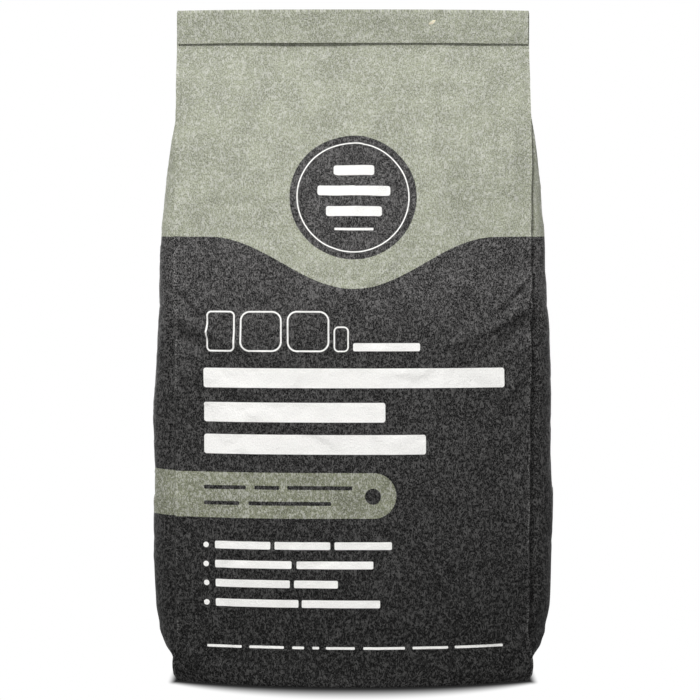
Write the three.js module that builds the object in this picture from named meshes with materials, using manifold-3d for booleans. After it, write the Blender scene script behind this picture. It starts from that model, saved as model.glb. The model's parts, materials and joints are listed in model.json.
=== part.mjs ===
// Filled paper sack of lumpwood charcoal, standing upright on its block bottom.
// Millimetres, +Z up, origin at the middle of the face it stands on, front panel towards -Y.
//
// The sack is one gusseted paper tube: its bottom is folded square and covered by a glued patch,
// its mouth is pressed flat, folded once to the front and held by two beads of hot-melt glue.
// Inside are the loose lumps of charcoal.

import * as THREE from 'three';
import { mergeVertices } from 'three/addons/utils/BufferGeometryUtils.js';
import Module from 'manifold-3d';

const wasm = await Module();
wasm.setup();

// ---------------------------------------------------------------- driving dimensions

const HEIGHT = 796;             // from the floor to the top fold
const PANEL_WIDTH = 425;        // front and back panels of the flat tube
const GUSSET_TUCK = 85;         // how far each gusset is tucked in where the mouth is flat
const WALL = 0.4;               // both plies of paper as one wall
const MOUTH_THICKNESS = 4;      // the flattened mouth, all its walls together
const FLAP_HEIGHT = 40;         // closure flap, folded down over the front
const FLAP_INSET = 1.2;         // the folded flap is a little narrower on each side
const FLAP_GAP = 2.4;           // room between flap and front panel, where the glue is
const CROWN_POWER = 2.2;        // how square the bulge of the front and back panels is

const PATCH = { width: 370, depth: 144, corner: 14, thickness: 0.6 };
const GLUE = { length: 384, height: 8, thickness: 1.6, fromTop: [14, 30] };
const TOUCH_GAP = 0.3;          // between pieces that touch

const LUMP_GRID = [4, 2, 6];    // lumps across, front to back and up
const LUMP_JITTER = 0.27;       // how far a lump strays from its place, in grid steps
const LUMP_CHIPS = 5;           // broken corners on each lump
const LUMP_SHRINK = 0.975;      // leaves air between neighbours
const LUMP_SEED = 12;

// The filled shape, as [height, value] points joined by a smooth curve.
const FOLD_DEPTH = [            // half depth at the four long fold lines
  [0, 64], [24, 68], [64, 71], [250, 70], [340, 68], [420, 64], [480, 58], [540, 50],
  [600, 40], [650, 29], [700, 16], [735, 6], [752, MOUTH_THICKNESS / 2],
];
const CROWN = [                 // how far front and back panels bulge past the fold lines
  [0, 46], [24, 38], [64, 33], [150, 30], [340, 28], [420, 27], [480, 24], [540, 19],
  [600, 14], [650, 9], [700, 4], [735, 1], [752, 0],
];
const VALLEY = [                // centre line of each gusset, from the middle of the sack
  [0, 216], [12, 217], [24, 215.5], [39, 223], [64, 229], [90, 231], [207, 233], [327, 230],
  [447, 214], [519, 194], [567, 175], [639, 150], [700, 134], [752, PANEL_WIDTH / 2 - GUSSET_TUCK],
];
const BILLOW = [                // how far each half gusset swells out between its creases
  [0, 0], [12, 0], [24, 1.5], [39, 8], [64, 12], [90, 15.6], [207, 15.9], [327, 16],
  [447, 19.5], [519, 26], [567, 29], [639, 31], [690, 24], [735, 6], [752, 0],
];
const FOOT = [                  // the square bottom fold stands proud of the sides above it
  [0, 10.5], [12, 9], [24, 4.5], [39, 0],
];
const BODY_HEIGHTS = [12, 24, 39, 64, 100, 160, 240, 320, 390, 440, 490, 540, 590, 640, 680, 715, 738, 752];

const PANEL_STEPS = 8;          // facets from the panel's middle to its fold line
const GUSSET_STEPS = 4;         // facets from the fold line to the gusset's centre line
const BEND_STEPS = 5;           // facets round the top fold

// ---------------------------------------------------------------- materials

function paint(color, roughness) {
  return new THREE.MeshStandardMaterial({ color, roughness, metalness: 0 });
}

const printedPaper = paint(0x5b5c57, 0.85);
const kraftPaper = paint(0x8d7355, 0.9);
const hotMelt = paint(0xd8cfa8, 0.4);
const charcoal = paint(0x1d1c1b, 0.8);

// ---------------------------------------------------------------- the shape of the sack

// Smooth curve through [height, value] points, level wherever the values stop rising or falling.
function along(points, height) {
  const last = points.length - 1;
  if (height <= points[0][0]) return points[0][1];
  if (height >= points[last][0]) return points[last][1];
  const slope = (k) => (points[k + 1][1] - points[k][1]) / (points[k + 1][0] - points[k][0]);
  const tangent = (k) => {
    if (k === 0) return slope(0);
    if (k === last) return slope(last - 1);
    const before = slope(k - 1);
    const after = slope(k);
    return before * after > 0 ? (2 * before * after) / (before + after) : 0;
  };
  const k = points.findIndex((point, index) => index < last && height < points[index + 1][0]);
  const span = points[k + 1][0] - points[k][0];
  const t = (height - points[k][0]) / span;
  const rise = t * t * (3 - 2 * t);
  const ease = t * (1 - t);
  return points[k][1] * (1 - rise) + points[k + 1][1] * rise
    + span * ease * (tangent(k) * (1 - t) - tangent(k + 1) * t);
}

// The section at a height: fold line, crown, gusset centre line and billow.
// The panel keeps its paper width, so its fold lines come closer as it bulges.
function sectionAt(height) {
  const half = PANEL_WIDTH / 2;
  const crown = along(CROWN, height);
  return {
    fold: half - (2 / 3) * crown * crown / half + along(FOOT, height),
    depth: along(FOLD_DEPTH, height),
    crown,
    valley: along(VALLEY, height),
    billow: along(BILLOW, height),
  };
}

// The same section moved in by the wall's thickness.
function insetSection(section, wall) {
  const { fold, depth, valley } = section;
  const gusset = Math.hypot(fold - valley, depth);
  return {
    ...section,
    fold: fold - wall * (gusset + fold - valley) / depth,
    depth: depth - wall,
    valley: valley - wall * gusset / depth,
  };
}

// One closed ring of [x, y] points, from the middle of the front round by the +X side.
function ringPoints(section) {
  const { fold, depth, crown, valley, billow } = section;
  const quarter = [];
  for (let i = 0; i <= PANEL_STEPS; i++) {
    const u = i / PANEL_STEPS;
    quarter.push([fold * u, -depth - crown * (1 - u ** CROWN_POWER)]);
  }
  for (let j = 1; j <= GUSSET_STEPS; j++) {
    const s = j / GUSSET_STEPS;
    quarter.push([fold + (valley - fold) * s + billow * Math.sin(Math.PI * s), -depth * (1 - s)]);
  }
  const right = [...quarter, ...quarter.slice(0, -1).reverse().map(([x, y]) => [x, -y])];
  const left = right.slice(1, -1).reverse().map(([x, y]) => [-x, y]);
  return [...right, ...left];
}

// Where each ring sits: up the body, round the top fold and down the flap.
function sackStations() {
  const bendRadius = MOUTH_THICKNESS / 2 + FLAP_GAP / 2;
  const bendHeight = HEIGHT - bendRadius - MOUTH_THICKNESS / 2;
  const mouth = sectionAt(HEIGHT);
  const flap = { ...mouth, fold: mouth.fold - FLAP_INSET, valley: mouth.valley - FLAP_INSET };
  const stations = BODY_HEIGHTS.map((z) => ({ section: sectionAt(z), y: 0, z, turn: 0 }));
  for (let i = 0; i <= BEND_STEPS; i++) {
    const turn = Math.PI * i / BEND_STEPS;
    stations.push({
      section: i < BEND_STEPS / 2 ? mouth : flap,
      y: bendRadius * (Math.cos(turn) - 1),
      z: bendHeight + bendRadius * Math.sin(turn),
      turn,
    });
  }
  stations.push({ section: flap, y: -2 * bendRadius, z: HEIGHT - FLAP_HEIGHT, turn: Math.PI });
  return stations;
}

function placeRing({ section, y, z, turn }) {
  return ringPoints(section).map(([x, across]) => (
    new THREE.Vector3(x, y + across * Math.cos(turn), z + across * Math.sin(turn))
  ));
}

// Skins a list of rings with equal point counts and closes both ends with a fan.
function loftRings(rings) {
  const count = rings[0].length;
  const positions = rings.flat().flatMap((point) => [point.x, point.y, point.z]);
  const index = [];
  for (let r = 0; r < rings.length - 1; r++) {
    for (let i = 0; i < count; i++) {
      const a = r * count + i;
      const b = r * count + (i + 1) % count;
      index.push(a, b, b + count, a, b + count, a + count);
    }
  }
  const addFan = (ring, first, flip) => {
    const centre = positions.length / 3;
    const middle = ring.reduce((sum, point) => sum.add(point), new THREE.Vector3()).divideScalar(count);
    positions.push(middle.x, middle.y, middle.z);
    for (let i = 0; i < count; i++) {
      const a = first + i;
      const b = first + (i + 1) % count;
      index.push(centre, flip ? b : a, flip ? a : b);
    }
  };
  addFan(rings[0], 0, true);
  addFan(rings[rings.length - 1], (rings.length - 1) * count, false);
  const geometry = new THREE.BufferGeometry();
  geometry.setAttribute('position', new THREE.Float32BufferAttribute(positions, 3));
  geometry.setIndex(index);
  return geometry;
}

// The rings run up the outside, over the mouth's edge and back down the inside.
function paperSack() {
  const stations = sackStations();
  const underside = PATCH.thickness + TOUCH_GAP;
  const floor = { section: sectionAt(0), y: 0, z: underside, turn: 0 };
  const inner = (station) => ({ ...station, section: insetSection(station.section, WALL) });
  const outside = [floor, ...stations].map(placeRing);
  const inside = [{ ...inner(floor), z: underside + WALL }, ...stations.map(inner)].map(placeRing);
  return named('paper_sack', loftRings([...outside, ...inside.reverse()]), printedPaper);
}

// ---------------------------------------------------------------- patch and glue

function roundedRectangle(width, depth, radius) {
  const x = width / 2;
  const y = depth / 2;
  const shape = new THREE.Shape();
  shape.moveTo(-x + radius, -y);
  shape.lineTo(x - radius, -y);
  shape.absarc(x - radius, -y + radius, radius, -Math.PI / 2, 0);
  shape.lineTo(x, y - radius);
  shape.absarc(x - radius, y - radius, radius, 0, Math.PI / 2);
  shape.lineTo(-x + radius, y);
  shape.absarc(-x + radius, y - radius, radius, Math.PI / 2, Math.PI);
  shape.lineTo(-x, -y + radius);
  shape.absarc(-x + radius, -y + radius, radius, Math.PI, Math.PI * 1.5);
  return shape;
}

function extruded(shape, depth) {
  return new THREE.ExtrudeGeometry(shape, { depth, bevelEnabled: false, curveSegments: 4 });
}

function bottomPatch() {
  const outline = roundedRectangle(PATCH.width, PATCH.depth, PATCH.corner);
  return named('bottom_patch', extruded(outline, PATCH.thickness), kraftPaper);
}

// A flat bead of glue with round edges, running across the sack behind the flap.
function closureGlue(number, belowTop) {
  const section = roundedRectangle(GLUE.thickness, GLUE.height, GLUE.thickness * 0.45);
  const geometry = extruded(section, GLUE.length);
  geometry.translate(0, 0, -GLUE.length / 2).rotateX(Math.PI / 2).rotateZ(Math.PI / 2);
  const bead = named(`closure_glue_${number}`, geometry, hotMelt);
  bead.position.set(0, -(MOUTH_THICKNESS + FLAP_GAP) / 2, HEIGHT - belowTop);
  return bead;
}

// ---------------------------------------------------------------- lumps of charcoal

// Repeatable random numbers from 0 to 1.
function randomSource(seed) {
  let state = seed;
  return () => {
    state = (state + 0x6d2b79f5) | 0;
    let t = Math.imul(state ^ (state >>> 15), 1 | state);
    t = (t + Math.imul(t ^ (t >>> 7), 61 | t)) ^ t;
    return ((t ^ (t >>> 14)) >>> 0) / 4294967296;
  };
}

function toSolid(geometry) {
  const bare = geometry.clone();
  bare.deleteAttribute('normal');
  bare.deleteAttribute('uv');
  const merged = mergeVertices(bare, 1e-4);
  return new wasm.Manifold(new wasm.Mesh({
    numProp: 3,
    vertProperties: new Float32Array(merged.attributes.position.array),
    triVerts: new Uint32Array(merged.index.array),
  }));
}

function toGeometry(solid) {
  const mesh = solid.getMesh();
  const geometry = new THREE.BufferGeometry();
  geometry.setAttribute('position', new THREE.BufferAttribute(new Float32Array(mesh.vertProperties), 3));
  geometry.setIndex(new THREE.BufferAttribute(new Uint32Array(mesh.triVerts), 1));
  return geometry;
}

// Cuts away everything on the far side of a plane.
function cutBeyond(solid, point, normal) {
  const size = 2 * HEIGHT;
  const block = new THREE.BoxGeometry(size, size, size).translate(0, 0, size / 2);
  const towards = normal.clone().normalize();
  block.applyQuaternion(new THREE.Quaternion().setFromUnitVectors(new THREE.Vector3(0, 0, 1), towards));
  block.translate(point.x, point.y, point.z);
  return solid.subtract(toSolid(block));
}

// The room that the charcoal fills: a block with its edges and shoulders cut to the sack.
const FILL = { x: 226, y: 80, bottom: 5, top: 600 };
const FILL_CUTS = [             // a point on each plane, and its outward direction, for x, y >= 0
  { point: [150, 80, 0], normal: [20, 55, 0] },       // long edge, towards the panel
  { point: [226, 36, 0], normal: [24, 23, 0] },       // long edge, towards the gusset
  { point: [0, 80, 330], normal: [0, 270, 42] },      // front and back shoulder
  { point: [220, 0, 360], normal: [240, 0, 66] },     // side shoulder
  { point: [205, 0, 5], normal: [56, 0, -22] },       // side of the foot
];

function fillRoom() {
  const block = new THREE.BoxGeometry(2 * FILL.x, 2 * FILL.y, FILL.top - FILL.bottom);
  block.translate(0, 0, (FILL.top + FILL.bottom) / 2);
  let room = toSolid(block);
  for (const { point, normal } of FILL_CUTS) {
    for (const side of [1, -1]) {
      for (const face of [1, -1]) {
        const place = new THREE.Vector3(point[0] * side, point[1] * face, point[2]);
        const outward = new THREE.Vector3(normal[0] * side, normal[1] * face, normal[2]);
        room = cutBeyond(room, place, outward);
      }
    }
  }
  return room;
}

// One centre for each lump, on a grid that narrows with the sack and is shaken out of line.
function lumpCentres(random) {
  const [across, deep, high] = LUMP_GRID;
  const rise = (FILL.top - FILL.bottom) / high;
  const centres = [];
  for (let k = 0; k < high; k++) {
    const z = FILL.bottom + rise * (k + 0.5);
    const room = sectionAt(z);
    const stepX = 2 * Math.min(room.valley, FILL.x) / across;
    const stepY = 2 * Math.min(room.depth, FILL.y) / deep;
    for (let j = 0; j < deep; j++) {
      for (let i = 0; i < across; i++) {
        const stray = () => (random() * 2 - 1) * LUMP_JITTER;
        centres.push(new THREE.Vector3(
          stepX * (i + 0.5 - across / 2 + stray()),
          stepY * (j + 0.5 - deep / 2 + stray()),
          z + rise * stray(),
        ));
      }
    }
  }
  return centres;
}

// A random corner is broken off, square to a line from the lump's middle.
function chip(solid, middle, random) {
  const direction = new THREE.Vector3(random() - 0.5, random() - 0.5, random() - 0.5).normalize();
  const positions = toGeometry(solid).attributes.position;
  const corner = new THREE.Vector3();
  let reach = 0;
  for (let i = 0; i < positions.count; i++) {
    reach = Math.max(reach, corner.fromBufferAttribute(positions, i).sub(middle).dot(direction));
  }
  const depth = reach * (0.76 + 0.16 * random());
  return cutBeyond(solid, middle.clone().addScaledVector(direction, depth), direction);
}

// Each lump takes the room nearer to its own centre than to its neighbours', less its chips.
function charcoalLumps() {
  const random = randomSource(LUMP_SEED);
  const room = fillRoom();
  const centres = lumpCentres(random);
  const neighbourReach = 2.4 * (2 * FILL.x / LUMP_GRID[0]);
  return centres.map((centre, index) => {
    let solid = room;
    for (const other of centres) {
      const away = other.clone().sub(centre);
      if (other === centre || away.length() > neighbourReach) continue;
      solid = cutBeyond(solid, centre.clone().addScaledVector(away, 0.5), away);
    }
    const box = new THREE.Box3().setFromBufferAttribute(toGeometry(solid).attributes.position);
    const middle = box.getCenter(new THREE.Vector3());
    for (let i = 0; i < LUMP_CHIPS; i++) solid = chip(solid, middle, random);
    const geometry = toGeometry(solid).translate(-middle.x, -middle.y, -middle.z);
    geometry.scale(LUMP_SHRINK, LUMP_SHRINK, LUMP_SHRINK);
    const lump = named(`charcoal_lump_${String(index + 1).padStart(2, '0')}`, geometry, charcoal);
    lump.position.copy(middle);
    return lump;
  });
}

// ---------------------------------------------------------------- assembly

function named(name, geometry, material) {
  const mesh = new THREE.Mesh(geometry, material);
  mesh.name = name;
  return mesh;
}

const sack = new THREE.Group();
sack.name = 'charcoal_sack';
sack.add(paperSack());
sack.add(bottomPatch());
GLUE.fromTop.forEach((belowTop, index) => sack.add(closureGlue(index + 1, belowTop)));

const contents = new THREE.Group();
contents.name = 'charcoal';
contents.add(...charcoalLumps());
sack.add(contents);

export default sack;
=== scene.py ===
"""Looks for a filled paper sack of lump charcoal, laid out as a Blender add-on.

The sack is one gusseted paper tube: folded square at the bottom, pressed flat at the mouth, folded once to
the front and glued. The model's frame gives every position; all lengths are metres.
"""

import json
import math

import bmesh
import bpy
import numpy as np
from bpy.props import FloatProperty, PointerProperty, StringProperty
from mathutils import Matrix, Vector, noise

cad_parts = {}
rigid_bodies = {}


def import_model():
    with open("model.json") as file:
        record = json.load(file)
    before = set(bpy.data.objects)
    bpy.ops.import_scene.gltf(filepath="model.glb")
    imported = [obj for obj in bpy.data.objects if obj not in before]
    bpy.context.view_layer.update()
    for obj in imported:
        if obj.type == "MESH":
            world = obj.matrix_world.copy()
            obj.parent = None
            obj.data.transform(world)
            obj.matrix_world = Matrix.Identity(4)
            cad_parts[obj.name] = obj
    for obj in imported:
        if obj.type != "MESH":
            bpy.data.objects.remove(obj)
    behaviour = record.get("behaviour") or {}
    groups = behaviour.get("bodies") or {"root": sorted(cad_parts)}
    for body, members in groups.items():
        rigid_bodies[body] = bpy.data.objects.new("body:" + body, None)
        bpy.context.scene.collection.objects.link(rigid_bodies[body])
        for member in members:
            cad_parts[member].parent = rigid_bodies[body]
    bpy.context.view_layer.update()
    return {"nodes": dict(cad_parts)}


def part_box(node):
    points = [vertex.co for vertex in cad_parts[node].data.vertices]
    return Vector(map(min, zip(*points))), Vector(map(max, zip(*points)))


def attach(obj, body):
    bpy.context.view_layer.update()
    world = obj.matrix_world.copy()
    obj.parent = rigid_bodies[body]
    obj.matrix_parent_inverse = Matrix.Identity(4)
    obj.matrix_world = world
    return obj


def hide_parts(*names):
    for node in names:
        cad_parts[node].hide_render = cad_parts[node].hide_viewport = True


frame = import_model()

bl_info = {
    "name": "Charcoal Sack",
    "version": (1, 0, 0),
    "blender": (4, 5, 0),
    "location": "3D View > Sidebar > Sack",
    "description": "Builds a filled, glued paper sack of lump charcoal with its print, contents and studio",
    "category": "Add Mesh",
}

MM = 0.001
BODY = "root"
PANEL_WIDTH = 421                       # of the flat tube, in millimetres, like the gusset's tuck
GUSSET_TUCK = 85
PANEL_REPEAT = (PANEL_WIDTH + 2 * GUSSET_TUCK) * MM     # paper from the front's middle to the back's middle
SACK_LOW, SACK_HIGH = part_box("paper_sack")
PATCH_LOW, PATCH_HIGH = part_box("bottom_patch")
GLUE_NODES = sorted(name for name in frame["nodes"] if name.startswith("closure_glue"))
LUMP_NODES = sorted(name for name in frame["nodes"] if name.startswith("charcoal_lump"))
TOP_FOLD = SACK_HIGH.z + 1.9 * MM       # the paper springs up a little over its crease
UNDERSIDE = SACK_LOW.z

# ------------------------------------------------------------------ settings


def length(name, description, millimetres):
    return FloatProperty(name=name, description=description, default=millimetres * MM, unit="LENGTH")


def power(name, description, watts):
    return FloatProperty(name=name, description=description, default=watts, unit="POWER")


def hex_setting(name, description, default):
    return StringProperty(name=name, description=description + ", sRGB hex", default=default)


class SackSizes(bpy.types.PropertyGroup):
    panel_width: length("Panel width", "Front and back panels of the flat tube", PANEL_WIDTH)
    gusset_tuck: length("Gusset tuck", "How far each side gusset is tucked in at the flat mouth", GUSSET_TUCK)
    flap_height: length("Flap height", "Closure flap that is folded down over the front", 40)
    flap_gap: length("Flap gap", "Room between the flap and the front panel, where the glue is", 1.5)
    mouth_thickness: length("Mouth thickness", "All walls of the flattened mouth together", 2.2)
    wall: length("Paper", "Both plies of paper together", 0.35)
    lump_press: length("Lump press", "How far lumps push the filled panels out of true", 2.0)
    crumple: length("Crumple", "Depth of the random creases that handling leaves", 1.3)
    lean: length("Mouth lean", "How far the mouth leans back over the filled part", 7)
    grid_step: length("Grid step", "Size of one face of the paper mesh", 3.4)
    lump_grain: length("Lump grain", "Size of one face of a charcoal lump", 6)


class SackColours(bpy.types.PropertyGroup):
    sage: hex_setting("Sage ink", "Upper colour of the print", "9B9E8C")
    band: hex_setting("Band ink", "Sage ink laid over charcoal on the band", "7F826E")
    charcoal: hex_setting("Charcoal ink", "Lower colour of the print where it meets the sage", "2C2B2B")
    # The deep charcoal is painted shade: the charcoal ink is drawn darker towards the bottom, standing in for
    # light that falls from above.
    painted_shade_ink: hex_setting("Deep charcoal ink", "The same ink where it lies thicker, at the bottom", "050505")
    paper: hex_setting("Bleached paper", "Unprinted outer ply", "FCFBF8")
    kraft: hex_setting("Brown kraft", "Inner ply and bottom patch", "A98C66")
    glue: hex_setting("Glue", "Hot-melt beads under the flap", "E6DEC4")
    coal: hex_setting("Charcoal", "Lumps inside the sack", "2A2928")
    ash: hex_setting("Ash bloom", "Pale dust in the lumps' hollows", "8C8984")


class StageSettings(bpy.types.PropertyGroup):
    distance: length("Camera distance", "From the lens to the middle of the sack", 3050)
    height: length("Camera height", "Lens above the floor", 550)
    pitch: FloatProperty(
        name="Camera pitch", description="How far the camera looks down",
        default=math.radians(3), subtype="ANGLE")
    lens: FloatProperty(
        name="Lens", description="Focal length for a 36 mm sensor, in millimetres", default=130.7)
    sideways: length("Camera sideways", "Lens to the right of the sack's middle", -3.6)
    fill: FloatProperty(name="Fill", description="Strength of the white room round the stage", default=0.33)
    key_power: power("Overhead softbox", "Softbox above and in front", 292)
    side_power: power("Side softbox", "Weak softbox low on the right", 9)
    back_power: power("Backdrop", "Lit backdrop that gives the edges their sheen", 88)


# ------------------------------------------------------------------ small helpers


def linear(hex_colour):
    """Scene-linear RGBA of an sRGB hex colour."""
    channels = [int(hex_colour[k:k + 2], 16) / 255 for k in (0, 2, 4)]
    return tuple(c / 12.92 if c <= 0.04045 else ((c + 0.055) / 1.055) ** 2.4 for c in channels) + (1.0,)


def along(points, height):
    """Smooth curve through [height, value] points, level wherever the values stop rising or falling."""
    at, value = np.array(points, float).T
    height = np.clip(height, at[0], at[-1])
    span = np.diff(at)
    slope = np.diff(value) / span
    same_way = slope[:-1] * slope[1:] > 0
    total = np.where(same_way, slope[:-1] + slope[1:], 1)
    mean = np.where(same_way, 2 * slope[:-1] * slope[1:] / total, 0)
    tangent = np.concatenate([slope[:1], mean, slope[-1:]])
    k = np.clip(np.searchsorted(at, height, side="right") - 1, 0, len(at) - 2)
    t = (height - at[k]) / span[k]
    rise = t * t * (3 - 2 * t)
    ease = t * (1 - t)
    return (value[k] * (1 - rise) + value[k + 1] * rise
            + span[k] * ease * (tangent[k] * (1 - t) - tangent[k + 1] * t))


def smooth_step(low, high, value):
    t = np.clip((value - low) / (high - low), 0, 1)
    return t * t * (3 - 2 * t)


def mesh_object(name, vertices, faces, material=None):
    mesh = bpy.data.meshes.new(name)
    mesh.from_pydata([tuple(v) for v in vertices], [], [tuple(f) for f in faces])
    mesh.validate()
    piece = bpy.data.objects.new(name, mesh)
    bpy.context.scene.collection.objects.link(piece)
    if material is not None:
        mesh.materials.append(material)
    for polygon in mesh.polygons:
        polygon.use_smooth = True
    return piece


# ------------------------------------------------------------------ the filled shape
# [height, value] points in millimetres: the frame's paper_sack, with gussets a little more open.

FOLD_DEPTH = [[0, 64], [24, 68], [64, 71], [250, 70], [340, 68], [420, 64], [480, 58], [540, 50],
              [600, 40], [650, 29], [700, 16], [735, 6], [752, 1.1]]
CROWN = [[0, 46], [24, 38], [64, 33], [150, 30], [340, 28], [420, 27], [480, 24], [540, 19],
         [600, 14], [650, 9], [700, 4], [735, 1], [752, 0]]
VALLEY = [[0, 210], [10, 214], [24, 212], [39, 221], [64, 228], [90, 230], [207, 232], [327, 229],
          [447, 213], [519, 205], [567, 201], [600, 197], [639, 191], [670, 178], [700, 152], [725, 132],
          [752, 125.5]]
BILLOW = [[0, 0], [10, 0], [24, 1.5], [39, 8], [64, 12], [90, 15.6], [207, 16.5], [327, 16.5],
          [447, 19.5], [519, 20.4], [567, 17.7], [600, 15.8], [639, 14.4], [670, 14], [700, 13],
          [730, 4], [752, 0]]
FOOT = [[0, 1.8], [3, 4.2], [10, 7.6], [16, 7.6], [24, 6.8], [39, 3.4], [60, 0]]
CROWN_POWER = 2.2
BILLOW_POWER = 1.6              # above 1, a gusset runs straight back from its fold before it swells
FLAP_INSET = 1.2 * MM


def section_at(height, sizes):
    """Fold line, its half depth, crown, gusset centre line and billow at each height, in metres."""
    high = height / MM
    half = sizes.panel_width / 2
    crown = along(CROWN, high) * MM
    # A panel that bulges draws its folds in: its arc is as long as the flat panel.
    return {
        "fold": half - (2 / 3) * crown ** 2 / half + along(FOOT, high) * MM,
        "depth": along(FOLD_DEPTH, high) * MM,
        "crown": crown,
        "valley": along(VALLEY, high) * MM,
        "billow": along(BILLOW, high) * MM,
    }


def ring_points(section, across, sizes):
    """Sideways and thickness coordinates of paper positions across the tube, one row for each section."""
    half = sizes.panel_width / 2
    quarter = half + sizes.gusset_tuck
    side = np.sign(across)
    front = np.abs(across) <= quarter
    folded = np.where(front, np.abs(across), 2 * quarter - np.abs(across))
    on_panel = folded <= half
    fold, depth, crown = (section[key][:, None] for key in ("fold", "depth", "crown"))
    valley, billow = (section[key][:, None] for key in ("valley", "billow"))
    p = np.clip(folded / half, 0, 1)
    g = np.clip((folded - half) / sizes.gusset_tuck, 0, 1)
    x = np.where(on_panel, fold * p, fold + (valley - fold) * g + billow * np.sin(np.pi * g) ** BILLOW_POWER)
    n = np.where(on_panel, depth + crown * (1 - p ** CROWN_POWER), depth * (1 - g))
    return x * side, np.where(front, -n, n)


# ------------------------------------------------------------------ materials


def add(tree, kind, inputs=None, **settings):
    """Adds a node, sets its properties, and fills its inputs with numbers, colours or links."""
    node = tree.nodes.new(kind)
    for key, value in settings.items():
        setattr(node, key, value)
    for key, value in (inputs or {}).items():
        socket = node.inputs[key]
        if isinstance(value, bpy.types.NodeSocket):
            tree.links.new(value, socket)
        else:
            socket.default_value = value
    return node


def new_material(name):
    material = bpy.data.materials.new(name)
    material.use_nodes = True
    material.node_tree.nodes.clear()
    return material, material.node_tree


def shade(tree, operation, *values, clamp=False):
    """The output of one arithmetic step."""
    node = add(tree, "ShaderNodeMath", dict(enumerate(values)), operation=operation, use_clamp=clamp)
    return node.outputs[0]


def plus(tree, first, second):
    return shade(tree, "ADD", first, second)


def minus(tree, first, second):
    return shade(tree, "SUBTRACT", first, second)


def times(tree, first, second):
    return shade(tree, "MULTIPLY", first, second)


def most(tree, first, second):
    return shade(tree, "MAXIMUM", first, second)


def apart(tree, first, second):
    """How far two values are from each other."""
    return shade(tree, "ABSOLUTE", minus(tree, first, second))


def weighted(tree, *parts):
    """Sum of values that are each multiplied by a weight."""
    total = times(tree, *parts[0])
    for value, weight in parts[1:]:
        total = plus(tree, total, times(tree, value, weight))
    return total


def hypotenuse(tree, *sides):
    """Root of the sum of the squares of two or more sides."""
    total = 0.0
    for side in sides:
        total = plus(tree, total, shade(tree, "POWER", side, 2))
    return shade(tree, "SQRT", total)


def ramp(tree, value, low, high, to_low=0.0, to_high=1.0):
    """A smooth rise from to_low to to_high while value goes from low to high."""
    return add(tree, "ShaderNodeMapRange", {0: value, 1: low, 2: high, 3: to_low, 4: to_high},
               interpolation_type="SMOOTHSTEP").outputs[0]


def tinted(tree, colour, tone):
    """The colour multiplied by a tone."""
    grey = add(tree, "ShaderNodeCombineXYZ", {0: tone, 1: tone, 2: tone}).outputs[0]
    return add(tree, "ShaderNodeMix", {0: 1.0, 6: colour, 7: grey}, data_type="RGBA",
               blend_type="MULTIPLY").outputs[2]


def blend(tree, factor, first, second):
    return add(tree, "ShaderNodeMix", {0: factor, 6: first, 7: second}, data_type="RGBA").outputs[2]


def object_place(tree):
    return add(tree, "ShaderNodeTexCoord").outputs["Object"]


def stretched(tree, place, scale):
    return add(tree, "ShaderNodeMapping", {"Vector": place, "Scale": scale}).outputs[0]


def mottle(tree, place, size, detail, roughness=0.5, distortion=0.0, seed=None):
    """Noise whose features have about the given size; a seed cuts it elsewhere."""
    inputs = {"Vector": place, "Scale": 1 / size, "Detail": detail, "Roughness": roughness,
              "Distortion": distortion}
    if seed is None:
        return add(tree, "ShaderNodeTexNoise", inputs).outputs[0]
    return add(tree, "ShaderNodeTexNoise", {**inputs, "W": seed}, noise_dimensions="4D").outputs[0]


def fibre_mask(tree, place, size, seed):
    """Thin crooked contour lines of a noise, drawn out along the sheet, broken into short strokes."""
    strands = mottle(tree, stretched(tree, place, (1.3, 0.5, 1.0)), size, 1.5, 0.6, 0.8, seed)
    line = ramp(tree, apart(tree, strands, 0.5), 0.015, 0.07, 1.0, 0.0)
    breaks = mottle(tree, place, size / 0.9, 1.0, seed=seed + 5)
    return times(tree, line, ramp(tree, breaks, 0.44, 0.58))


def two_fibre_masks(tree, place, coarse, fine, seed):
    """Coarse and fine fibres together."""
    return most(tree, fibre_mask(tree, place, coarse, seed), fibre_mask(tree, place, fine, seed + 3))


def bump(tree, height, strength, distance, normal=None):
    inputs = {"Height": height, "Strength": strength, "Distance": distance}
    if normal is not None:
        inputs["Normal"] = normal
    return add(tree, "ShaderNodeBump", inputs).outputs[0]


def surface(tree, inputs):
    """Ends a material with one principled shader."""
    shader = add(tree, "ShaderNodeBsdfPrincipled", inputs)
    add(tree, "ShaderNodeOutputMaterial", {"Surface": shader.outputs[0]})


# ------------------------------------------------------------------ the print

SEAM_LAP = 14 * MM              # overlap of the glued seam at the back
INK_SPREAD = 0.25 * MM          # how far ink creeps into the fibres at a printed edge
WAVE_LEVEL = 529 * MM           # height on the paper of the line between the two inks
WAVE_DROP = 62 * MM             # how far it dips in the middle
WAVE_REACH = 170 * MM           # from the middle to where it runs level
BADGE = {"up": 577 * MM, "radius": 75 * MM, "ring": 66 * MM, "stroke": 1.6 * MM}

# Bars in millimetres on the paper: left, low, width, height, corner, stroke.
BAND = (-535, 198.5, 586, 53.5, 26.7, 0)      # from the front round the left gusset to the back
PALE_BARS = [
    (-174, 393, 34, 48, 6, 2.0), (-134, 393, 50, 48, 12, 2.0), (-78, 393, 50, 48, 12, 2.0),
    (-23, 393, 18, 30, 6, 1.8), (0, 394, 79, 9.5, 2, 0),
    (-177, 351, 356, 23, 3, 0), (-177, 311, 215, 23, 3, 0), (-177, 273.5, 263, 23, 3, 0),     # heading
]
LIST_LINES = [                                # height of each line, then the left end and width of its words
    (162, [(-164, 66), (-93, 66), (-22, 68)]), (139.5, [(-164, 91), (-67, 91)]),
    (117, [(-164, 89), (-70, 52)]), (94, [(-164, 99), (-61, 93)]),
]
FOOT_WORDS = [(-173, 41), (-123, 41), (-72, 14), (-48, 8), (-32, 34), (12, 49), (70, 42), (120, 58)]
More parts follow.
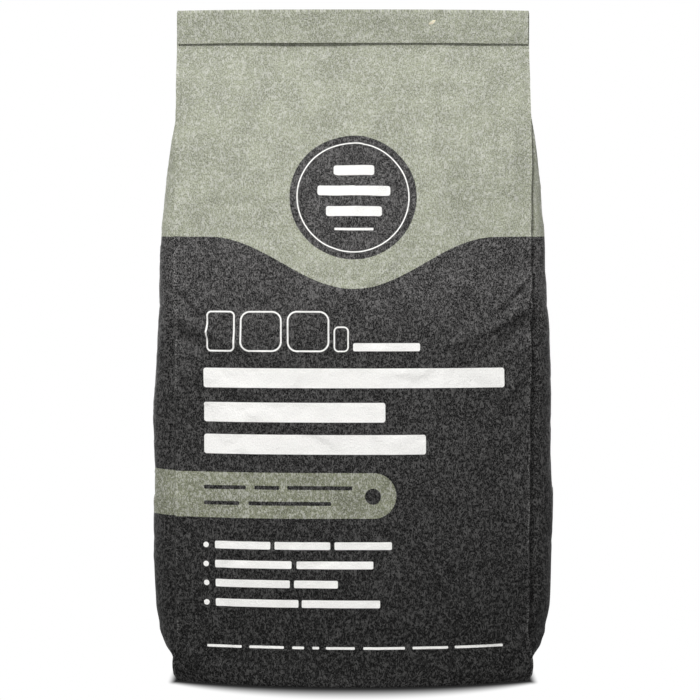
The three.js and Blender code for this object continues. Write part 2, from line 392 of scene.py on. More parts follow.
BADGE_BARS = [(604, 48, 12), (579, 86, 12), (554, 66, 12), (537, 46, 3)]                # low, width, height
BAND_WORDS = [(-177, 232, 50), (-117, 232, 30), (-78, 232, 77), (-177, 213.5, 42), (-124, 213.5, 98)]
for low, words in LIST_LINES:
    PALE_BARS.append((-178, low + 1, 6.5, 6.5, 3.2, 0))                 # a dot, then its words
    PALE_BARS += [(left, low, width, 9, 1.6, 0) for left, width in words]
PALE_BARS += [(left, 45.5, width, 3, 1.0, 0) for left, width in FOOT_WORDS]
PALE_BARS += [(1 - width / 2, low, width, height, height / 4, 0) for low, width, height in BADGE_BARS]
DARK_BARS = [(14, 215, 19, 19, 9.5, 0)]                                 # the band's spot, then its words
DARK_BARS += [(left, low, width, 4.6, 1.4, 0) for left, low, width in BAND_WORDS]

# How much the sheet's grain, clouds and fibres show in each ink, and in bare paper.
DARK_INK = {"grain": 1.9, "cloud": 0.5, "fibre": 2.6, "least": 0.05}
SAGE_INK = {"grain": 0.28, "cloud": 0.12, "fibre": 0.3}
BARE_GRAIN = 0.035
SPECK_SHARE = 0.3               # how much of a pale speck shows against a fibre
MISSED_SHARE = (0.06, 0.075)    # bare paper in the charcoal ink, at the bottom and at the wave
WORN_SHARE = {"fold": 0.12, "seam": 0.09}
PAINTED_SHADE_STEPS = ((0, 300, 0.35), (370, 490, 0.65))        # painted shade: charcoal ink drawn lighter upwards, from, to, by what share


def within(tree, distance):
    """1 where a distance is below zero, with an edge as soft as ink leaves."""
    return ramp(tree, distance, -INK_SPREAD, INK_SPREAD, 1.0, 0.0)


def bar_group():
    """A bar with round corners, solid or outlined, which stands where a word would."""
    group = bpy.data.node_groups.new("printed_bar", "ShaderNodeTree")
    for name in ("Across", "Up", "Left", "Low", "Width", "Height", "Corner", "Stroke"):
        group.interface.new_socket(name, in_out="INPUT", socket_type="NodeSocketFloat")
    group.interface.new_socket("Ink", in_out="OUTPUT", socket_type="NodeSocketFloat")
    source = add(group, "NodeGroupInput").outputs

    def past_corner(place, start, size):
        """How far a place is beyond where the corner's rounding starts."""
        half = times(group, source[size], 0.5)
        away = apart(group, source[place], plus(group, source[start], half))
        return plus(group, minus(group, away, half), source["Corner"])

    out_x = past_corner("Across", "Left", "Width")
    out_y = past_corner("Up", "Low", "Height")
    reach = hypotenuse(group, most(group, out_x, 0), most(group, out_y, 0))
    depth = shade(group, "MINIMUM", most(group, out_x, out_y), 0)
    distance = minus(group, plus(group, reach, depth), source["Corner"])
    half_stroke = times(group, source["Stroke"], 0.5)
    off_line = shade(group, "ABSOLUTE", plus(group, distance, half_stroke))
    outlined = shade(group, "GREATER_THAN", source["Stroke"], 0)
    edge = add(group, "ShaderNodeMix", {0: outlined, 2: distance, 3: minus(group, off_line, half_stroke)})
    add(group, "NodeGroupOutput", {"Ink": within(group, edge.outputs[0])})
    return group


def printed_paper(sizes, colours):
    """Bleached kraft sack paper printed in two flexo inks: matt, with pale fibres that the ink misses."""
    material, tree = new_material("bleached_kraft_flexo_print")
    paper = add(tree, "ShaderNodeUVMap", uv_map="Paper").outputs[0]
    where = add(tree, "ShaderNodeSeparateXYZ", {0: paper})
    across, up = where.outputs[0], where.outputs[1]
    bare_paper = linear(colours.paper)
    bar = bar_group()

    def bars(table):
        """The union of all bars of a table."""
        union = 0.0
        for row in table:
            left, low, width, height, corner, stroke = (value * MM for value in row)
            ink = add(tree, "ShaderNodeGroup", {
                "Across": across, "Up": up, "Left": left, "Low": low, "Width": width, "Height": height,
                "Corner": corner, "Stroke": stroke}, node_tree=bar).outputs[0]
            union = most(tree, union, ink)
        return union

    # Both panels carry the wave; the back is the front turned round, without its words.
    panel_across = shade(tree, "PINGPONG", across, PANEL_REPEAT / 2)
    angle = times(tree, shade(tree, "MINIMUM", panel_across, WAVE_REACH), math.pi / WAVE_REACH)
    dip = times(tree, plus(tree, shade(tree, "COSINE", angle), 1), WAVE_DROP / 2)
    is_sage = ramp(tree, minus(tree, up, minus(tree, WAVE_LEVEL, dip)), -INK_SPREAD, INK_SPREAD)
    from_badge = hypotenuse(tree, across, minus(tree, up, BADGE["up"]))
    badge = within(tree, minus(tree, from_badge, BADGE["radius"]))
    ring = within(tree, minus(tree, apart(tree, from_badge, BADGE["ring"]), BADGE["stroke"] / 2))
    dark_marks = most(tree, badge, bars(DARK_BARS))
    on_sage = times(tree, most(tree, is_sage, bars([BAND])), minus(tree, 1, dark_marks))
    bare = most(tree, bars(PALE_BARS), ring)
    # The cut edge of the lap seam up the middle of the back shows as a hairline.
    cut_edge = ramp(tree, apart(tree, across, PANEL_REPEAT - SEAM_LAP), 0.3 * MM, 0.7 * MM, 1.0, 0.0)

    # Crooked fibres of two sizes, the fine grain of the sheet between them, and its cloudy formation.
    fibres = two_fibre_masks(tree, paper, 4.6 * MM, 3.0 * MM, 0.0)
    speck = mottle(tree, stretched(tree, paper, (1.2, 0.7, 1.0)), 1.3 * MM, 0.0)
    grain = ramp(tree, speck, 0.36, 0.64, -1.0, 1.0)
    cloud = mottle(tree, paper, 38 * MM, 5.0, 0.62)
    cloudy = ramp(tree, cloud, 0.3, 0.7, -1.0, 1.0)

    # Ink is rubbed off the folds, in broken lines that fade out over 3 mm.
    half = sizes.panel_width / 2
    off_folds = [apart(tree, panel_across, fold) for fold in (half, half + sizes.gusset_tuck)]
    rubbed = ramp(tree, shade(tree, "MINIMUM", *off_folds), 0.3 * MM, 3.0 * MM, 1.0, 0.0)
    rubbed = times(tree, rubbed, ramp(tree, cloud, 0.42, 0.62))
    rubbed = times(tree, rubbed, ramp(tree, grain, -0.4, 0.6))

    # Painted shade: the charcoal ink is drawn darker towards the bottom and lighter towards the wave, in two
    # steps, standing in for light that falls from above.
    painted_light_share = [ramp(tree, up, low * MM, high * MM, 0.0, share) for low, high, share in PAINTED_SHADE_STEPS]
    charcoal = blend(tree, plus(tree, *painted_light_share), linear(colours.painted_shade_ink), linear(colours.charcoal))
    dark_tone = weighted(
        tree, (grain, DARK_INK["grain"]), (cloudy, DARK_INK["cloud"]), (fibres, DARK_INK["fibre"]))
    dark = tinted(tree, charcoal, most(tree, plus(tree, dark_tone, 1.0), DARK_INK["least"]))
    pale_specks = most(tree, fibres, ramp(tree, grain, 0.4, 1.0, 0.0, SPECK_SHARE))
    missed = times(tree, pale_specks, ramp(tree, up, 0.0, WAVE_LEVEL, *MISSED_SHARE))
    dark = blend(tree, missed, dark, bare_paper)
    sage_tone = weighted(tree, (grain, SAGE_INK["grain"]), (cloudy, SAGE_INK["cloud"]))
    pale_ink = blend(tree, is_sage, linear(colours.band), linear(colours.sage))
    sage = tinted(tree, pale_ink, plus(tree, sage_tone, 1))
    sage = blend(tree, times(tree, fibres, SAGE_INK["fibre"]), sage, bare_paper)
    worn = most(tree, times(tree, rubbed, WORN_SHARE["fold"]), times(tree, cut_edge, WORN_SHARE["seam"]))
    inked = blend(tree, worn, blend(tree, on_sage, dark, sage), bare_paper)
    bare_tone = plus(tree, times(tree, grain, BARE_GRAIN), 1)
    printed = blend(tree, bare, inked, tinted(tree, bare_paper, bare_tone))

    fine = bump(tree, weighted(tree, (fibres, 0.8), (grain, 0.35)), 0.9, 0.26 * MM)
    surface(tree, {
        "Base Color": printed, "Roughness": ramp(tree, grain, -1.0, 1.0, 0.46, 0.62), "IOR": 1.48,
        "Normal": bump(tree, cloud, 0.6, 2.4 * MM, fine), "Specular IOR Level": 0.15,
        "Sheen Weight": 0.06, "Sheen Roughness": 0.28})
    return material


# ------------------------------------------------------------------ the other materials


def brown_kraft(colours):
    """Unbleached kraft paper: warm, matt, with darker and paler wood fibres lying every way."""
    material, tree = new_material("unbleached_kraft_paper")
    place = object_place(tree)
    fibres = two_fibre_masks(tree, place, 5.2 * MM, 3.6 * MM, 11.0)
    speck = mottle(tree, place, 2.4 * MM, 3.0, 0.8)
    cloud = mottle(tree, place, 40 * MM, 4.0)
    tone = plus(tree, ramp(tree, speck, 0.3, 0.7, -0.14, 0.14), ramp(tree, cloud, 0.3, 0.7, 0.9, 1.1))
    kraft = tinted(tree, linear(colours.kraft), tone)
    surface(tree, {
        "Base Color": blend(tree, times(tree, fibres, 0.22), kraft, linear(colours.paper)),
        "Roughness": ramp(tree, speck, 0.3, 0.7, 0.62, 0.8), "IOR": 1.48,
        "Normal": bump(tree, plus(tree, fibres, speck), 0.5, 0.2 * MM)})
    return material


def hot_melt(colours):
    """Pressed hot-melt glue: cream, slightly clear, with a wet gloss broken by pulled threads."""
    material, tree = new_material("pressed_hot_melt_glue")
    thread = mottle(tree, stretched(tree, object_place(tree), (0.25, 1, 1)), 2 * MM, 3.0)
    surface(tree, {
        "Base Color": tinted(tree, linear(colours.glue), ramp(tree, thread, 0.3, 0.7, 0.82, 1.06)),
        "Roughness": ramp(tree, thread, 0.3, 0.7, 0.22, 0.45), "IOR": 1.50,
        "Subsurface Weight": 0.15, "Subsurface Radius": (3 * MM, 2 * MM, 1 * MM),
        "Normal": bump(tree, thread, 0.4, 0.3 * MM)})
    return material


def lump_charcoal(colours):
    """Lumpwood charcoal: black wood with growth rings, cracks across them and ash in the hollows."""
    material, tree = new_material("charred_hardwood")
    place = object_place(tree)
    hollows = mottle(tree, place, 60 * MM, 2.0)
    rings = add(tree, "ShaderNodeTexWave", {
        "Vector": place, "Scale": 1 / (22 * MM), "Distortion": 9.0, "Detail": 3.0,
        "Detail Scale": 0.6}, wave_type="RINGS").outputs["Fac"]
    cells = add(tree, "ShaderNodeTexVoronoi", {"Vector": place, "Scale": 1 / (16 * MM)},
                feature="DISTANCE_TO_EDGE").outputs[0]
    crack = ramp(tree, cells, 0.0, 0.07, 1.0, 0.0)
    pores = mottle(tree, place, 1.8 * MM, 3.0, 0.8)
    dust = times(tree, ramp(tree, hollows, 0.5, 0.72), ramp(tree, pores, 0.42, 0.6))
    tone = minus(tree, ramp(tree, rings, 0.2, 0.8, 0.75, 1.3), times(tree, crack, 0.6))
    black = tinted(tree, linear(colours.coal), tone)
    height = minus(tree, plus(tree, times(tree, rings, 0.5), pores), crack)
    surface(tree, {
        "Base Color": blend(tree, times(tree, dust, 0.45), black, linear(colours.ash)),
        "Roughness": ramp(tree, rings, 0.1, 0.9, 0.38, 0.8), "IOR": 1.6,
        "Normal": bump(tree, height, 0.7, 0.9 * MM)})
    return material


# ------------------------------------------------------------------ paper relief

# Creases on each panel in millimetres: start across and up the paper, end, height (a valley is
# below zero) and half width. They lie on both sides of the panel's middle.
SHOULDER_CREASES = [
    (214, 452, 162, 419, 4.6, 7), (162, 419, 96, 396, 2.2, 11), (208, 480, 176, 446, 3.4, 5),
    (202, 465, 172, 434, -3.0, 5), (212, 428, 172, 398, -3.6, 10), (196, 382, 186, 330, 2.6, 5),
    (136, 524, 148, 484, 1.6, 6), (208, 570, 200, 490, 1.5, 7), (192, 690, 186, 560, 1.6, 8),
    (176, 700, 172, 590, -1.2, 7), (160, 700, 166, 600, 1.2, 10), (104, 724, 120, 630, -1.0, 12),
    (60, 716, 40, 610, 0.9, 15), (128, 660, 96, 560, 0.8, 12), (206, 60, 168, 22, 1.8, 7),
    (190, 110, 206, 40, -1.4, 6), (150, 44, 206, 16, -1.2, 6), (60, 30, 130, 10, 0.9, 7),
    (204, 300, 196, 180, 1.3, 7), (186, 250, 198, 150, -0.9, 8),
    (212, 466, 184, 446, 1.6, 2.5), (211, 452, 176, 428, -1.6, 2.5), (208, 440, 168, 418, 1.5, 3),
    (196, 432, 158, 410, -1.2, 3), (206, 494, 190, 470, 1.0, 3),
]
GUSSET_CREASES = [
    (213, 742, 296, 668, 2.6, 7), (296, 668, 250, 600, -1.6, 9), (220, 690, 262, 560, 1.4, 9),
    (296, 640, 262, 520, 1.2, 10), (226, 460, 280, 430, -1.5, 8), (240, 300, 292, 330, 0.9, 7),
    (232, 180, 284, 150, -0.9, 7), (214, 30, 262, 62, 1.8, 8), (262, 62, 296, 46, 1.2, 8),
    (230, 12, 290, 12, -0.8, 5),
]
# The same on the flap, measured down from the top fold, and over the whole width.
FLAP_CREASES = [
    (-196, 4, -172, 30, 0.5, 4), (-168, 2, -158, 16, -0.4, 3), (-92, 4, -70, 16, 0.5, 4),
    (-60, 30, -22, 26, 0.3, 6), (70, 8, 96, 34, 0.5, 4), (104, 6, 84, 26, -0.5, 4),
    (118, 3, 134, 18, 0.55, 3), (150, 22, 176, 12, 0.3, 5), (182, 36, 202, 22, 0.5, 4),
    (20, 12, 44, 8, 0.3, 5),
]
# How far the flap's free edge stands off, at places across the front.
FLAP_LIFT = [[-212, -0.7], [-150, -0.4], [-90, 1.2], [-40, 1.4], [0, 0.6], [40, -0.3], [96, -0.8],
             [140, 0.3], [180, -0.4], [212, -0.8]]
# Noises that shape the paper: size of a feature in millimetres, where each is cut, and its kind.
RELIEF_NOISES = {
    "domes": (88, (3.1, 7.7, 1.3), "spots"),
    "soft": (130, (5.0, 1.0, 9.0), "noise"),
    "jitter": (55, (2.2, 8.8, 3.3), "noise"),
    "patches": (100, (1.7, 4.4, 6.2), "noise"),
    "facets": (75, (8.3, 2.9, 4.1), "edges"),
    "fine_facets": (33, (4.6, 5.3, 0.7), "edges"),
    "ripples": (42, (6.1, 0.8, 2.9), "noise"),
    "flap": (24, (0.4, 6.1, 2.7), "noise"),
}
RIPPLE_DRAW = np.array([1, 1, 0.22])    # ripples are drawn out up the sack
# Heights in millimetres between which each effect sets in, and between which it ends.
REACH = {
    "filled": ((4, 60), (420, 660)),
    "slack": ((3, 30), (700, 752)),
    "ripples": ((360, 520), (715, 752)),
}
CREASE_SHIFT = {"left": 7.0, "back": 12.0}        # moves the creases, so that no two shoulders are alike
TUCK = {"right": 8.0, "left": 4.5, "behind": 9, "width": 6}       # groove behind each fold, in millimetres


def crease_relief(creases, across, up):
    """Sum of sharp ridges along line segments, each a quarter as high at its ends as in the middle."""
    relief = np.zeros_like(across)
    for x0, y0, x1, y1, height, width in creases:
        dx, dy = x1 - x0, y1 - y0
        t = np.clip(((across - x0) * dx + (up - y0) * dy) / (dx * dx + dy * dy), 0, 1)
        away = np.hypot(across - x0 - t * dx, up - y0 - t * dy)
        relief += 1.8 * height * np.exp(-away / (0.85 * width)) * np.clip(4 * t * (1 - t) + 0.25, 0, 1)
    return relief


def relief_noise(name, points):
    """One of the noises above, at each point."""
    size, cut, kind = RELIEF_NOISES[name]
    return field(points, size, Vector(cut), kind)


def field(points, size, cut, kind="noise"):
    """At each point a noise, or the way to the nearest of scattered spots or to the line between two."""
    sites = points / (size * MM) + cut
    if kind == "spots":
        return np.array([noise.voronoi(site)[0][0] for site in sites])
    if kind == "edges":
        near = np.array([noise.voronoi(site)[0][:2] for site in sites])
        return near[:, 1] - near[:, 0]
    return np.array([noise.noise(site) for site in sites])


def reach_of(name, high, drop=1.0):
    """Share of an effect at each height; drop is how much of it is gone at the top."""
    start, end = REACH[name]
    return smooth_step(*start, high) * (1 - drop * smooth_step(*end, high))


def paper_relief(points, across, up, sizes):
    """How far each point of the body stands off the smooth filled shape, in metres."""
    half = sizes.panel_width / 2 / MM
    quarter = sizes.panel_width / 2 + sizes.gusset_tuck
    flat = points.reshape(-1, 3)
    on_front = np.abs(across) <= quarter
    folded = np.where(on_front, np.abs(across), 2 * quarter - np.abs(across)) / MM
    high = up / MM

    def grid(name, places=flat):
        return relief_noise(name, places).reshape(points.shape[:2])

    slack = reach_of("slack", high)
    soft = grid("soft")
    # Lumps press soft domes into the paper.
    domes = 0.75 - np.hypot(grid("domes"), 0.3)
    press = (domes * 1.6 + soft * 1.2) * sizes.lump_press * reach_of("filled", high, 0.85)
    # Facets meet in sharp creases: coarse ones everywhere, finer ones in patches.
    jitter = grid("jitter") * 8
    patchy = smooth_step(-0.25, 0.3, grid("patches"))
    facets = 0.9 * (1 - smooth_step(0, 0.24, grid("facets")))
    fine_facets = 0.75 * (1 - smooth_step(0, 0.3, grid("fine_facets")))
    crumple = facets * np.sign(soft + 0.1) + fine_facets * patchy * np.sign(jitter)
    handled = crumple * sizes.crumple * slack * np.where(folded > half, 0.5, 0.9)
    # Long soft ripples run down from the mouth, where the tube narrows from full to flat.
    ripples = 2.6 * grid("ripples", flat * RIPPLE_DRAW) * reach_of("ripples", high)
    shift = np.where(across < 0, CREASE_SHIFT["left"], 0.0) + np.where(on_front, 0.0, CREASE_SHIFT["back"])
    creases = crease_relief(SHOULDER_CREASES, folded + jitter * 0.7 - shift * 0.4, high + jitter + shift)
    creases += 0.6 * crease_relief(GUSSET_CREASES, folded + jitter, high - jitter - shift * 0.5)
    # A pressed fold is a sharp ridge with a groove behind it, where the gusset is tucked in.
    from_fold = folded - half
    tuck = np.where(across > 0, TUCK["right"], TUCK["left"]) * (0.8 + 0.5 * soft)
    pressed_fold = 1.4 * np.exp(-np.abs(from_fold) / 1.5)
    pressed_fold -= tuck * np.exp(-(((from_fold - TUCK["behind"]) / TUCK["width"]) ** 2))
    from_seam = 2 * quarter - np.abs(across)
    lap = np.where(across > 0, 1 - smooth_step(SEAM_LAP - 1 * MM, SEAM_LAP + 2 * MM, from_seam),
                   1 - smooth_step(0, 2 * MM, from_seam))
    return press + handled + (creases + pressed_fold + ripples) * MM * slack + lap * 2 * sizes.wall


def surface_normals(points):
    """Unit normals of a grid of points that closes on itself sideways."""
    sideways = np.roll(points, -1, axis=1) - np.roll(points, 1, axis=1)
    upward = np.gradient(points, axis=0)
    normals = np.cross(sideways, upward)
    return normals / np.maximum(np.linalg.norm(normals, axis=-1, keepdims=True), 1e-9)


# ------------------------------------------------------------------ pieces

BOTTOM_ROUND = 1.6 * MM         # height of the rounded edge round the bottom
FINE_BAND = 26 * MM             # the lowest part, which has finer rings
FINE_RINGS = 12
TURN_RINGS = 8                  # round the top fold, then down the flap
FLAP_RINGS = 12
FREE_EDGE_PRESS = 0.4           # how much flatter the flap is at its free edge
MOUTH_RETURN = (0.0004, 0.003, 0.012)             # how far up its inside the flap's mouth is shown
LEAN_BAND = (0.60, 0.86)        # heights between which the mouth leans back
SAG_BAND = (0.70, 0.76)         # heights between which the top fold's ends sag
END_SAG = 1.6 * MM
# How far each ring of the underside lies inside the edge, and its height, in millimetres.
BOTTOM_RINGS = ((54, 0), (36, 0), (18, 0), (6, 0), (1.8, 0), (0.9, 0.2), (0.2, 0.8))
SHEET_RINGS = (1.0, 0.985, 0.9, 0.75, 0.55, 0.3)              # sizes of the nested rings of a flat sheet
PATCH_PAPER = {"corner": 14 * MM, "thickness": 0.3 * MM, "ragged": 0.5 * MM, "wave": 0.12 * MM}
# The bottom's folds, one over the other: how far the sides lap past the middle, where each ends.
FOLD_PAPER = {"thickness": 0.1 * MM, "lap": 12 * MM, "spacing": 0.13 * MM, "step": 8 * MM}
# A bead's rings and the points of each, how blunt its ends and flanks are, and how uneven it is.
BEAD = {"stations": 96, "sides": 12, "end_power": 24, "flank_power": 0.6, "width": 0.8,
        "thickness": 0.78, "swell": 0.3, "drift": 0.9 * MM}
# Wear that cuts into a lump, in millimetres: how far apart, and how deep.
LUMP_WEAR = {"chips": (42, 1.5), "cracks": (26, 2.2), "ridges": (9, 1.8)}
LUMP_SKIN = 0.3                 # millimetres that are worn off all over
LUMP_GRAIN_DRAW = np.array([1, 1, 0.3])           # the wood's grain runs up the lump


def inset_section(section, wall):
    """The section moved in by the wall's thickness."""
    fold, depth, valley = section["fold"], section["depth"], section["valley"]
    gusset = np.hypot(fold - valley, depth)
    return {**section, "fold": fold - wall * (gusset + fold - valley) / depth, "depth": depth - wall,
            "valley": valley - wall * gusset / depth}


def columns_across(sizes):
    """Places round the tube, from the seam at the back by the front to the seam, ends included."""
    half = sizes.panel_width / 2
    quarter = half + sizes.gusset_tuck
    panel = np.linspace(0, half, round(half / sizes.grid_step) + 1)[:-1]
    gusset = np.linspace(half, quarter, round(sizes.gusset_tuck / sizes.grid_step) + 1)
    marks = np.concatenate([panel, gusset])
    right = np.concatenate([marks, 2 * quarter - marks[-2::-1]])
    return np.concatenate([-right[:0:-1], right])


def body_rings(across, sizes):
    """Rings from the floor to the start of the top fold, with the paper's creases."""
    lowest = UNDERSIDE + BOTTOM_ROUND
    fine_top = lowest + FINE_BAND
    top = TOP_FOLD - sizes.flap_gap / 2 - sizes.mouth_thickness
    fine = np.linspace(lowest, fine_top, FINE_RINGS)[:-1]
    z = np.concatenate([fine, np.linspace(fine_top, top, round((top - lowest) / sizes.grid_step))])
    section = section_at(z, sizes)
    x, n = ring_points(section, across, sizes)
    points = np.stack([x, n, np.repeat(z[:, None], len(across), axis=1)], axis=-1)
    front = section["depth"] + section["crown"]
    up = np.concatenate([[0], np.cumsum(np.hypot(np.diff(z), np.diff(front)))]) + lowest
    span = np.broadcast_to(across, points.shape[:2])
    rise = np.broadcast_to(up[:, None], points.shape[:2])
    return points, paper_relief(points, span, rise, sizes), up, top


def flap_rings(bend_height, sizes):
    """Sections and places of the rings round the top fold and down the flap to its free edge."""
    radius = (sizes.mouth_thickness + sizes.flap_gap) / 2
    turns = np.linspace(0, math.pi, TURN_RINGS + 1)[1:]
    down = np.linspace(0, bend_height - (TOP_FOLD - sizes.flap_height), FLAP_RINGS + 1)[1:]
    turn = np.concatenate([turns, down * 0 + math.pi])
    y = radius * (np.cos(turn) - 1)
    z = bend_height + radius * np.sin(turn) - np.concatenate([turns * 0, down])
    narrow = FLAP_INSET * turn / math.pi
    section = {key: value + turn * 0 for key, value in section_at(np.array([TOP_FOLD]), sizes).items()}
    section["fold"] = section["fold"] - narrow
    section["valley"] = section["valley"] - narrow
    pressed = np.concatenate([turns * 0, np.linspace(0, 1, len(down)) ** 3])
    section["depth"] = section["depth"] * (1 - FREE_EDGE_PRESS * pressed)
    return section, y, z, turn


def place_flap(section, y, z, turn, across, sizes):
    """Points of the flap's rings, with its free edge standing off and its small creases."""
    x, n = ring_points(section, across, sizes)
    level = z[:, None] + 0 * x
    below = (TOP_FOLD - level) / MM * (turn[:, None] >= math.pi - 1e-6)
    lift = along(FLAP_LIFT, x / MM) * (below / (sizes.flap_height / MM)) ** 2
    wrinkle = 1.8 * crease_relief(FLAP_CREASES, x / MM, below) * smooth_step(0, 6, below)
    ripple = relief_noise("flap", np.stack([x, 0 * x, level], axis=-1).reshape(-1, 3)).reshape(x.shape)
    stand_off = lift + wrinkle + 0.3 * ripple * smooth_step(2, 14, below)
    points_y = y[:, None] + n * np.cos(turn)[:, None] - stand_off * MM
    return np.stack([x, points_y, level + n * np.sin(turn)[:, None]], axis=-1)


def bottom_rings(first):
    """Rings that round the bottom edge and run in over the underside, and their places on the paper."""
    reach = np.minimum(np.linalg.norm(first[:, :2], axis=1), 100 * MM)
    rings, up = [], []
    for inset, lift in BOTTOM_RINGS:
        ring = first * (1 - inset * MM / reach)[:, None]
        ring[:, 2] = UNDERSIDE + lift * MM
        rings.append(ring)
        up.append(-inset * MM)
    return rings, up


def lean_back(points, sizes):
    """The mouth leans back, and the ends of the top fold sag a little."""
    points[..., 1] += 1.25 * sizes.lean * smooth_step(*LEAN_BAND, points[..., 2])
    ends = np.abs(points[..., 0] / (sizes.panel_width / 2)) ** 3
    points[..., 2] -= END_SAG * ends * smooth_step(*SAG_BAND, points[..., 2])
    return points


def close_ends(piece):
    """Closes the middle of the underside and the inside of the mouth by joining front to back."""
    work = bmesh.new()
    work.from_mesh(piece.data)
    bmesh.ops.holes_fill(work, edges=[edge for edge in work.edges if edge.is_boundary], sides=0)
    bmesh.ops.triangulate(work, faces=[face for face in work.faces if len(face.verts) > 4])
    bmesh.ops.recalc_face_normals(work, faces=work.faces)
    work.to_mesh(piece.data)
    work.free()


def claim(piece, slot, *nodes):
    """Lets a piece ride the sack's body and says which CAD nodes it stands for; slot, what it is made of, is
    not used.
    """
    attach(piece, BODY)
    if nodes:
        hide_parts(*nodes)


def build_sack(sizes, colours):
    across = columns_across(sizes)
    columns = len(across) - 1
    around = across[:-1]
    body, relief, body_up, bend_height = body_rings(across, sizes)
    body, relief = body[:, :-1], relief[:, :-1]
    body = body + surface_normals(body) * relief[..., None]
    base, base_up = bottom_rings(body[0])
    section, y, z, turn = flap_rings(bend_height, sizes)
    flap = place_flap(section, y, z, turn, around, sizes)
    inner = {key: value[-1:] for key, value in inset_section(section, sizes.wall).items()}
    lips = [place_flap(inner, y[-1:], z[-1:] + depth, turn[-1:], around, sizes)[0] for depth in MOUTH_RETURN]
    rings = lean_back(np.concatenate([np.array(base), body, flap, np.array(lips)]), sizes)
    middle = np.concatenate([body[-1:], flap])[:, columns // 2]
    flap_up = body_up[-1] + np.cumsum(np.linalg.norm(np.diff(middle, axis=0), axis=1))
    up = np.concatenate([base_up, body_up, flap_up, flap_up[-1] + np.array(MOUTH_RETURN)])

    row = np.arange(len(rings) - 1)[:, None] * columns
    left = np.arange(columns)[None, :]
    right = (left + 1) % columns
    quads = np.stack([row + left, row + right, row + columns + right, row + columns + left], axis=-1)
    flat = np.empty((len(rings) - 1, columns, 4, 2), np.float32)
    flat[..., 0] = np.stack([across[:-1], across[1:], across[1:], across[:-1]], axis=-1)[None]
    flat[..., 1] = np.stack([up[:-1], up[:-1], up[1:], up[1:]], axis=-1)[:, None]

    piece = mesh_object("printed_paper_sack", rings.reshape(-1, 3), quads.reshape(-1, 4),
                        printed_paper(sizes, colours))
    layer = piece.data.uv_layers.new(name="Paper")
    layer.data.foreach_set("uv", flat.ravel())
    piece.data.materials.append(brown_kraft(colours))
    inside = len(rings) - len(MOUTH_RETURN)
    material_index = np.repeat(np.arange(len(rings) - 1) >= inside, columns).astype(np.int32)
    piece.data.polygons.foreach_set("material_index", material_index)
    close_ends(piece)
    piece.data.set_sharp_from_angle(angle=math.radians(38))
    claim(piece, "printed_paper", "paper_sack")


def divided(corners, step):
    """A straight-sided outline with points about a step apart."""
    points = []
    for here, after in zip(corners, corners[1:] + corners[:1]):
        parts = max(1, round(math.dist(here, after) / step))
        points += [(here[0] + (after[0] - here[0]) * k / parts, here[1] + (after[1] - here[1]) * k / parts)
                   for k in range(parts)]
    return points


def round_rectangle(half_x, half_y, corner, step):
    """Outline of a rectangle with round corners, with points about a step apart."""
    points = []
    for quarter, (sign_x, sign_y) in enumerate(((1, 1), (-1, 1), (-1, -1), (1, -1))):
        for turn in np.linspace(0, math.pi / 2, 7) + quarter * math.pi / 2:
            points.append((sign_x * (half_x - corner) + corner * math.cos(turn),
                           sign_y * (half_y - corner) + corner * math.sin(turn)))
    return divided(points, step)


def thin_sheet(name, outline, low, thickness, material, wave=0.0):
    """A flat sheet of paper with a cut edge: nested rings of its outline above and below."""
    outline = np.array(outline, float)
    centre = outline.mean(axis=0)
    rings = []
    for level, order in ((low, SHEET_RINGS[::-1]), (low + thickness, SHEET_RINGS)):
        for factor in order:
            flat = centre + (outline - centre) * factor
            ripple = [wave * (noise.noise(Vector((x * 18, y * 18, 3.0))) + 0.5) for x, y in flat]
            rings.append(np.column_stack([flat, level + np.array(ripple)]))
    piece = mesh_object(name, np.concatenate(rings), ring_faces(len(rings), len(outline)), material)
    close_ends(piece)
    piece.data.set_sharp_from_angle(angle=math.radians(40))
    return piece


def ring_faces(rings, count):
    """Faces between neighbouring rings that have the same count of points."""
    faces = []
    for start in range(0, (rings - 1) * count, count):
        for j in range(count):
            after = start + (j + 1) % count
            faces.append((start + j, after, after + count, start + j + count))
    return faces


def build_patch(sizes, colours):
    """The glued kraft patch, and the folded ends and sides of the bottom that it covers."""
    half_x, half_y = (PATCH_HIGH.x - PATCH_LOW.x) / 2, (PATCH_HIGH.y - PATCH_LOW.y) / 2
    kraft = brown_kraft(colours)
    ragged = PATCH_PAPER["ragged"]
    outline = [(x + ragged * noise.noise(Vector((x * 60, y * 60, 0))),
                y + ragged * noise.noise(Vector((x * 60, y * 60, 9))))
               for x, y in round_rectangle(half_x, half_y, PATCH_PAPER["corner"], 6 * MM)]
    patch = thin_sheet("kraft_bottom_patch", outline, PATCH_LOW.z + 0.02 * MM, PATCH_PAPER["thickness"],
                       kraft, PATCH_PAPER["wave"])
    claim(patch, "kraft_paper", "bottom_patch")
    section = section_at(np.array([2 * MM]), sizes)
    fold, depth = section["fold"][0], section["depth"][0]
    level = PATCH_LOW.z + 0.5 * MM
    folds = []                  # name, height and corners
    for number, side in enumerate((-1, 1)):        # the long sides, one over the other, past the middle
        inner, edge = side * FOLD_PAPER["lap"], -side * (depth - 5 * MM)
        corners = [(-fold + 60 * MM, inner), (fold - 60 * MM, inner),
                   (fold - 8 * MM, edge), (-fold + 8 * MM, edge)]
        folds.append((f"bottom_fold_side_{number + 1}", level + number * FOLD_PAPER["spacing"], corners))
    for number, side in enumerate((-1, 1)):        # the triangles of the ends, under the sides
        corners = [(side * (fold - 6 * MM), -depth + 8 * MM), (side * (fold - 6 * MM), depth - 8 * MM),
                   (side * (fold - 70 * MM), 0)]
        folds.append((f"bottom_fold_end_{number + 1}", level + 2 * FOLD_PAPER["spacing"], corners))
    for name, height, corners in folds:
        outline = divided(corners, FOLD_PAPER["step"])
        claim(thin_sheet(name, outline, height, FOLD_PAPER["thickness"], kraft), "kraft_paper")


